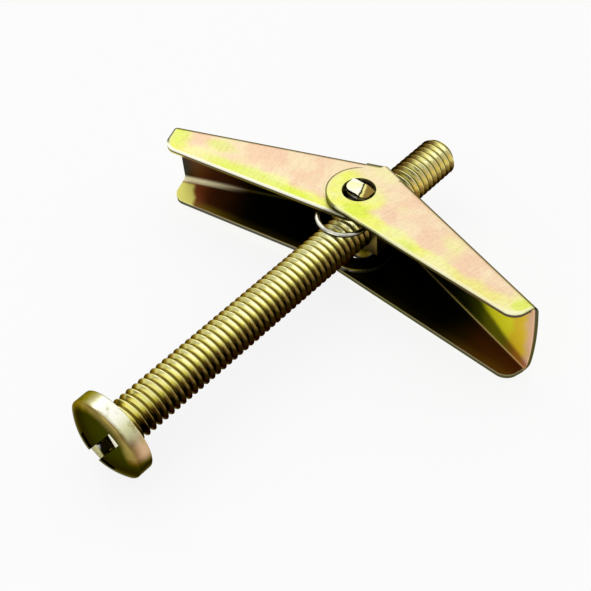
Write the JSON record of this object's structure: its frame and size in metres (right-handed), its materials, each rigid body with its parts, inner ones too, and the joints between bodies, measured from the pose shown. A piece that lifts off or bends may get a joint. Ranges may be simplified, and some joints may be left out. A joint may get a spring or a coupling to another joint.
{
  "type": "spring toggle bolt",
  "caption": "Pan head machine screw with a trunnion nut and spring-loaded folding wings that open behind a hollow wall",
  "frame": {"origin": "centre of the bearing face under the head of the screw", "axes": "+Y runs along the screw from its head to its tip, +Z is the hinge axis of the wings, +X points to the outer wing"},
  "size_m": [0.0604, 0.0671, 0.0132],
  "materials": {
    "zinc_screw": "yellow zinc plating, glossy",
    "zinc_nut": "yellow zinc plating, satin",
    "zinc_wing": "yellow zinc plating with pink and green bands, satin",
    "spring_wire": "drawn spring wire, bright"
  },
  "bodies": {
    "screw": {"machine_screw": "zinc_screw"},
    "nut_carrier": {"trunnion_nut": "zinc_nut", "torsion_spring": "spring_wire"},
    "outer_leaf": {"outer_wing": "zinc_wing"},
    "inner_leaf": {"inner_wing": "zinc_wing"}
  },
  "joints": [
    {"name": "nut_travel", "type": "slide", "parent": "screw", "child": "nut_carrier", "axis": [0, 1, 0], "range_m": [-0.014, 0.016]},
    {"name": "outer_fold", "type": "hinge", "parent": "nut_carrier", "child": "outer_leaf", "pos_m": [0, 0.0446, 0], "axis": [0, 0, -1], "range_deg": [0, 73], "stiffness_Nm_per_rad": 0.01, "springref_deg": -28.65, "deforming": ["torsion_spring"]},
    {"name": "inner_fold", "type": "hinge", "parent": "nut_carrier", "child": "inner_leaf", "pos_m": [0, 0.0446, 0], "axis": [0, 0, 1], "range_deg": [0, 68], "stiffness_Nm_per_rad": 0.01, "springref_deg": -28.65, "deforming": ["torsion_spring"]}
  ]
}
